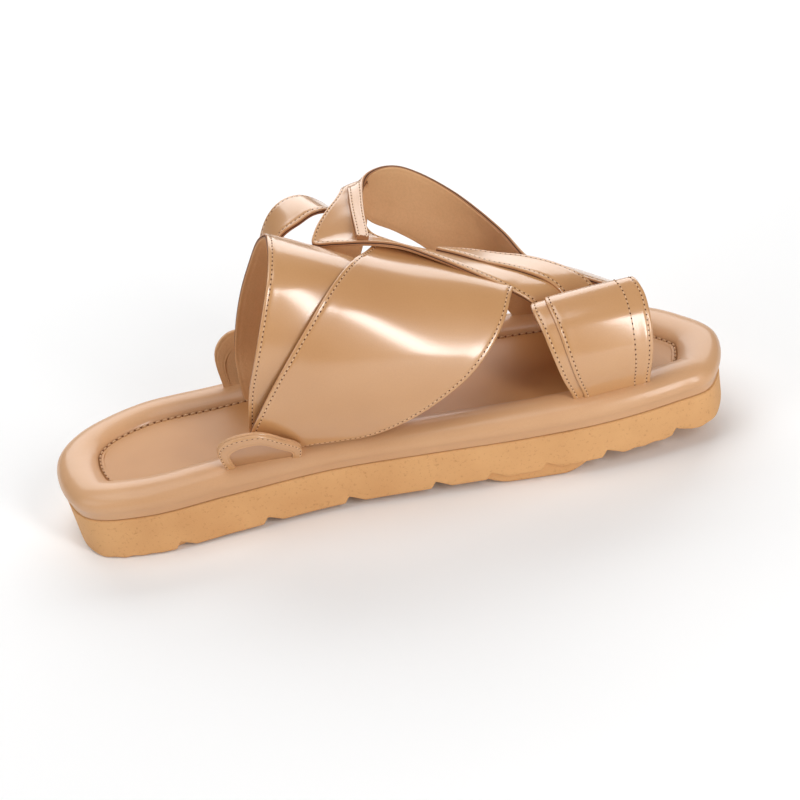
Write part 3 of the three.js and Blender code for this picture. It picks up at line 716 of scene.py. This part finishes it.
def strapSurface(rows, lift, start):
    shares = np.linspace(0, 1, (len(rows) - 1) * leather["along"] + 1)
    back = spline([place(r["back"]) for r in rows], shares)
    front = spline([place(r["front"]) for r in rows], shares)
    crown = spline([(i, r["crown"], 0) for i, r in enumerate(rows)], shares)[:, 1] * shoe["instepRise"]
    across = front - back
    width = np.linalg.norm(across, axis=1)
    out = unit(np.cross(across, np.gradient((back + front) / 2, axis=0)))
    edge = np.array([distance for distance, relief in leather["edgeColumns"]])
    middleShares = np.linspace(0, 1, leather["middleColumns"] + 2)[1:-1]
    columns = []
    for whole, span in zip(width, (1 - start) * width):
        near = edge * min(1.0, leather["edgeShare"] * span / edge[-1])
        spots = np.concatenate([near, near[-1] + (span - 2 * near[-1]) * middleShares, span - near[::-1]])
        columns.append((start * whole + spots) / whole)
    share = np.array(columns)
    grid = back[:, None] + across[:, None] * share[..., None]
    grid += out[:, None] * (crown[:, None] * 4 * share * (1 - share))[..., None]
    normal = unit(np.cross(np.gradient(grid, axis=1), np.gradient(grid, axis=0)))
    return grid + normal * lift - np.array([middle[0], middle[1], 0]), normal


def makeStrap(name, rows, node, lift=0, start=0, thickness=leather["thickness"], finishes=None):
    grid, normal = strapSurface(rows, lift, start)
    sections, count = grid.shape[:2]
    relief = [rise for distance, rise in leather["edgeColumns"]]
    height = np.zeros(count)
    height[:len(relief)] = relief
    height[-len(relief):] = relief[::-1]
    top = grid + normal * (thickness / 2 + height)[None, :, None]
    bottom = grid - normal * (thickness / 2 + height * leather["underRelief"])[None, :, None]
    sideways = unit(np.gradient(grid, axis=1))

    def lips(column, side, rise):
        edge, out, up = grid[:, column], sideways[:, column] * side, normal[:, column] * rise
        lip = edge + out * leather["lipOut"]
        return [points[:, None] for points in (lip + up, edge - out * leather["layerGap"], lip - up)]

    rightLips = lips(-1, 1, leather["lipRise"])
    leftLips = lips(0, -1, -leather["lipRise"])
    loop = np.concatenate([top, *rightLips, bottom[:, ::-1], *leftLips], axis=1)
    size = loop.shape[1]
    outside, lining, cut, gap = range(4)
    seam = [cut, gap, gap, cut]
    kinds = [outside] * (count - 1) + seam + [lining] * (count - 1) + seam
    faces = []
    for j in range(sections - 1):
        for i in range(size):
            n = (i + 1) % size
            faces.append([j * size + i, j * size + n, (j + 1) * size + n, (j + 1) * size + i])
    faces.append(list(range(size))[::-1])
    faces.append([(sections - 1) * size + i for i in range(size)])
    marks = kinds * (sections - 1) + [cut, cut]
    finishes = finishes or [strapLeather, liningLeather, cutEdge, edgeLine]
    addMesh(name, loop.reshape(-1, 3), faces, finishes, [node], marks, sharpAngle=50)
    return top, normal


print("strap tools made")


# Stitches: Geometry Nodes lay thread and needle holes along the paths. The holes are dark dots raised on
# the leather, whose colour is painted shade for the shadow inside them.
def stitchTree():
    tree = bpy.data.node_groups.new("edgeStitches", "GeometryNodeTree")
    face = tree.interface
    face.new_socket("Geometry", in_out="INPUT", socket_type="NodeSocketGeometry")
    for name in ("Pitch", "Stitch Length", "Stitch Width", "Hole Width", "Lift"):
        face.new_socket(name, in_out="INPUT", socket_type="NodeSocketFloat")
    face.new_socket("Seed", in_out="INPUT", socket_type="NodeSocketInt")
    for name in ("Thread", "Hole"):
        face.new_socket(name, in_out="INPUT", socket_type="NodeSocketMaterial")
    face.new_socket("Geometry", in_out="OUTPUT", socket_type="NodeSocketGeometry")
    new, link = tree.nodes.new, tree.links.new
    given, result = new("NodeGroupInput"), new("NodeGroupOutput")

    toCurve = new("GeometryNodeMeshToCurve")
    link(given.outputs["Geometry"], toCurve.inputs["Mesh"])
    resample = new("GeometryNodeResampleCurve")
    resample.mode = "LENGTH"
    link(toCurve.outputs["Curve"], resample.inputs["Curve"])
    link(given.outputs["Pitch"], resample.inputs["Length"])

    facing = new("GeometryNodeInputNamedAttribute")
    facing.data_type = "FLOAT_VECTOR"
    facing.inputs["Name"].default_value = "facing"
    tangent = new("GeometryNodeInputTangent")
    turn = new("FunctionNodeAxesToRotation")
    turn.primary_axis, turn.secondary_axis = "Z", "X"
    link(facing.outputs["Attribute"], turn.inputs["Primary Axis"])
    link(tangent.outputs["Tangent"], turn.inputs["Secondary Axis"])

    def times(value, factor):
        node = new("ShaderNodeMath")
        node.operation = "MULTIPLY"
        node.inputs[1].default_value = factor
        link(value, node.inputs[0])
        return node.outputs[0]

    def scaled(vector, factor):
        node = new("ShaderNodeVectorMath")
        node.operation = "SCALE"
        link(vector, node.inputs["Vector"])
        link(factor, node.inputs["Scale"])
        return node.outputs["Vector"]

    def laid(lengthName, widthName, materialName, depthShare, ahead, wobble):
        ball = new("GeometryNodeMeshIcoSphere")
        ball.inputs["Radius"].default_value = 0.5  # so that its scale is its size
        ball.inputs["Subdivisions"].default_value = 2
        size = new("ShaderNodeCombineXYZ")
        link(given.outputs[lengthName], size.inputs["X"])
        link(given.outputs[widthName], size.inputs["Y"])
        link(times(given.outputs[widthName], depthShare), size.inputs["Z"])
        both = new("ShaderNodeVectorMath")
        both.operation = "ADD"
        link(scaled(tangent.outputs["Tangent"], times(given.outputs["Pitch"], ahead)), both.inputs[0])
        link(scaled(facing.outputs["Attribute"], given.outputs["Lift"]), both.inputs[1])
        move = new("GeometryNodeSetPosition")
        link(resample.outputs["Curve"], move.inputs["Geometry"])
        link(both.outputs["Vector"], move.inputs["Offset"])
        chance = new("FunctionNodeRandomValue")
        chance.data_type = "FLOAT"
        floats = [socket for socket in chance.inputs if socket.type == "VALUE"]
        floats[0].default_value, floats[1].default_value = -wobble, wobble
        link(given.outputs["Seed"], chance.inputs["Seed"])
        yaw = new("ShaderNodeCombineXYZ")
        link([socket for socket in chance.outputs if socket.type == "VALUE"][0], yaw.inputs["Z"])
        spin = new("FunctionNodeRotateRotation")
        spin.rotation_space = "LOCAL"
        link(turn.outputs["Rotation"], spin.inputs["Rotation"])
        link(yaw.outputs["Vector"], spin.inputs["Rotate By"])
        put = new("GeometryNodeInstanceOnPoints")
        link(move.outputs["Geometry"], put.inputs["Points"])
        link(ball.outputs["Mesh"], put.inputs["Instance"])
        link(spin.outputs["Rotation"], put.inputs["Rotation"])
        link(size.outputs["Vector"], put.inputs["Scale"])
        real = new("GeometryNodeRealizeInstances")
        link(put.outputs["Instances"], real.inputs["Geometry"])
        paint = new("GeometryNodeSetMaterial")
        link(real.outputs["Geometry"], paint.inputs["Geometry"])
        link(given.outputs[materialName], paint.inputs["Material"])
        return paint.outputs["Geometry"]

    join = new("GeometryNodeJoinGeometry")
    threads = laid("Stitch Length", "Stitch Width", "Thread", depthShare=0.7, ahead=0.0, wobble=0.06)
    # Hole dots between the stitches: their dark material is painted shade, not a real recess
    holeShadeDots = laid("Hole Width", "Hole Width", "Hole", depthShare=0.35, ahead=0.5, wobble=0.0)
    link(threads, join.inputs["Geometry"])
    link(holeShadeDots, join.inputs["Geometry"])
    smooth = new("GeometryNodeSetShadeSmooth")
    link(join.outputs["Geometry"], smooth.inputs["Geometry"])
    link(smooth.outputs["Geometry"], result.inputs["Geometry"])
    return tree


stitching = stitchTree()
strapThread = {
    "Pitch": 0.0022, "Stitch Length": 0.0014, "Stitch Width": 0.00050, "Hole Width": 0.00075,
    "Lift": 0.00004, "Seed": 3, "Thread": thread, "Hole": needleHoleShade,
}
insoleThread = {
    "Pitch": 0.0032, "Stitch Length": 0.0022, "Stitch Width": 0.0010, "Hole Width": 0.0010,
    "Lift": 0.0001, "Seed": 5, "Thread": seamThread, "Hole": seamHoleShade,
}


def sewPaths(name, paths, sizes, node):
    points, normals, edges = [], [], []
    for line, facing in paths:
        first = len(points)
        points += [tuple(p) for p in line]
        normals += [tuple(n) for n in facing]
        edges += [(first + i, first + i + 1) for i in range(len(line) - 1)]
    mesh = bpy.data.meshes.new(name + "Path")
    mesh.from_pydata(points, edges, [])
    attribute = mesh.attributes.new("facing", "FLOAT_VECTOR", "POINT")
    attribute.data.foreach_set("vector", np.array(normals).ravel())
    path = addObject(name + "Path", mesh)
    modifier = path.modifiers.new("stitches", "NODES")
    modifier.node_group = stitching
    for item in stitching.interface.items_tree:
        if item.in_out == "INPUT" and item.name in sizes:
            modifier[item.identifier] = sizes[item.name]
    evaluated = path.evaluated_get(bpy.context.evaluated_depsgraph_get())
    sewn = bpy.data.meshes.new_from_object(evaluated)
    sewn.name = name
    bpy.data.objects.remove(path)
    settle(addObject(name, sewn), [node])


# The straps of the upper, each with how far it is lifted off the one below
upperStraps = {
    "rearBandStrap": {"rows": rearBand, "lift": -0.001},
    "medialWingStrap": {"rows": medialWing, "lift": 0.001},
    "crossStrapBand": {"rows": crossStrap, "lift": 0.0},
    "rearLoopStrap": {"rows": rearLoop, "lift": 0.0},
    "frontVampStrap": {"rows": vamp, "lift": 0.001},
    "frontVampEdge": {"rows": vampEdge, "lift": 0.001},
}
stitchColumn = 4


# The column of a strap's points that a row of stitches follows, counted from one of its edges
def edgePath(sheet, side, column=stitchColumn):
    top, normal = sheet
    index = column if side == "back" else top.shape[1] - 1 - column
    return top[:, index], normal[:, index]


for name, strap in upperStraps.items():
    sheet = makeStrap(name, strap["rows"], "upper", strap["lift"])
    paths = [edgePath(sheet, "back"), edgePath(sheet, "front")]
    sewPaths(name + "Stitches", paths, strapThread, "upper")
print("upper made")


# Toe ring: a lower strip with a second layer laid over it from a little behind its rear edge
ring = {"layerStep": 0.001, "stepShare": 0.14, "innerColumn": 9}
lower = makeStrap("toeRingLower", toeRing, "toe_ring")
upper = makeStrap("toeRingUpper", toeRing, "toe_ring", ring["layerStep"], ring["stepShare"])
paths = [
    edgePath(lower, "back"), edgePath(upper, "back"),
    edgePath(upper, "front"), edgePath(upper, "front", ring["innerColumn"]),
]
sewPaths("toeRingStitches", paths, strapThread, "toe_ring")
print("toe ring made")


# Half-moon guards at the strap roots: a recessed panel inside a stitched border. The panel gets a darker
# copy of the strap leather, as painted shade.
guard = {"thickness": 0.0017, "borderShare": 0.26, "borderStep": 0.0012}


def makeGuard(name, rows, node):
    foot = [np.array(r["back"]) for r in rows]
    centre = (foot[0] + foot[-1]) / 2
    edge = [foot[0], *[np.array(r["front"]) for r in rows], foot[-1]]
    border = [row(tuple(p + (centre - p) * guard["borderShare"]), tuple(p)) for p in edge]
    beneath = [liningLeather, guardEdge, guardEdge]
    makeStrap(name + "Panel", rows, node, thickness=guard["thickness"], finishes=[shadedGuardLeather, *beneath])
    sheet = makeStrap(
        name + "Border", border, node, lift=guard["borderStep"] / 2,
        thickness=guard["thickness"] + guard["borderStep"], finishes=[strapLeather, *beneath],
    )
    sewPaths(name + "Stitches", [edgePath(sheet, "front")], strapThread, node)


makeGuard("innerGuard", innerGuard, "guard_inner")
makeGuard("outerGuard", outerGuard, "guard_outer")
print("guards made")


# Stitches along the foot of the rim, where the insole is sewn in. They face upwards and a little inwards.
insoleSeam = {"inset": 0.0009, "up": 0.0001, "lean": -0.5, "rise": 0.85}


def makeInsoleStitches():
    line = ringAboveSeam(shoe["rimWidth"] + insoleSeam["inset"], insoleTop + insoleSeam["up"])
    facing = outlineNormal * insoleSeam["lean"] + np.array([0, 0, insoleSeam["rise"]])
    path = (np.vstack([line, line[:1]]), np.vstack([facing, facing[:1]]))
    sewPaths("insoleStitches", [path], insoleThread, "insole")


makeInsoleStitches()
print("insole sewn")


# Floor, light and camera
floorLook = {"size": 6.0, "color": (0.93, 0.93, 0.93), "roughness": 0.9}
floorMesh = bpy.data.meshes.new("floor")
reach = floorLook["size"] / 2
floorCorners = [(-reach, -reach, 0), (reach, -reach, 0), (reach, reach, 0), (-reach, reach, 0)]
floorMesh.from_pydata(floorCorners, [], [[0, 1, 2, 3]])
floor = addObject("floor", floorMesh)
floorMaterial, _, floorShader = newMaterial("paleFloor")
floorShader.inputs["Base Color"].default_value = (*floorLook["color"], 1)
floorShader.inputs["Roughness"].default_value = floorLook["roughness"]
floorMesh.materials.append(floorMaterial)

worldLook = {"color": white, "strength": 0.135}
world = bpy.data.worlds.new("studio")
bpy.context.scene.world = world
world.use_nodes = True
background = world.node_tree.nodes["Background"]
background.inputs["Color"].default_value = (*worldLook["color"], 1)
background.inputs["Strength"].default_value = worldLook["strength"]

lights = {
    "frontBox": {"place": (0.48, -0.90, 0.49), "aim": (0, 0, 0.05), "size": (0.21, 0.86), "power": 7.0},
    "backBox": {"place": (0.10, 0.95, 0.70), "aim": (0, 0, 0.05), "size": (1.6, 0.8), "power": 11.5},
    "topBox": {"place": (-0.35, -0.15, 1.3), "aim": (0, 0, 0), "size": (1.0, 0.9), "power": 6.5},
    "heelBox": {"place": (-0.90, -0.40, 0.55), "aim": (0, 0, 0.03), "size": (0.7, 0.6), "power": 2.5},
}
for name, light in lights.items():
    data = bpy.data.lights.new(name, "AREA")
    data.shape = "RECTANGLE"
    data.size, data.size_y = light["size"]
    data.energy = light["power"]
    lamp = addObject(name, data)
    lamp.location = light["place"]
    beam = Vector(light["aim"]) - Vector(light["place"])
    lamp.rotation_euler = beam.to_track_quat("-Z", "Y").to_euler()

view = {
    "azimuth": -2.184, "elevation": 29.843, "roll": -10.238, "distance": 0.99963,
    "targetX": 0.15249, "targetY": 0.01776, "targetZ": 0.020,
    "lens": 99.73, "sensor": 36, "nearest": 0.05,
}
azimuth, elevation, roll = (math.radians(view[key]) for key in ("azimuth", "elevation", "roll"))
target = Vector((view["targetX"] - middle[0], view["targetY"] - middle[1], view["targetZ"]))
level = math.cos(elevation)
backward = Vector((math.sin(azimuth) * level, -math.cos(azimuth) * level, math.sin(elevation)))
cameraData = bpy.data.cameras.new("camera")
cameraData.lens = view["lens"]
cameraData.sensor_width = view["sensor"]
cameraData.clip_start = view["nearest"]
camera = addObject("camera", cameraData)
right = (-backward).cross(Vector((0, 0, 1))).normalized()
up = right.cross(-backward)
rolledRight = right * math.cos(roll) + up * math.sin(roll)
rolledUp = up * math.cos(roll) - right * math.sin(roll)
eye = target + backward * view["distance"]
camera.matrix_world = Matrix((
    (rolledRight.x, rolledUp.x, backward.x, eye.x),
    (rolledRight.y, rolledUp.y, backward.y, eye.y),
    (rolledRight.z, rolledUp.z, backward.z, eye.z),
    (0, 0, 0, 1),
))
bpy.context.scene.camera = camera
bpy.context.scene.view_settings.view_transform = "Standard"

print("scene done")
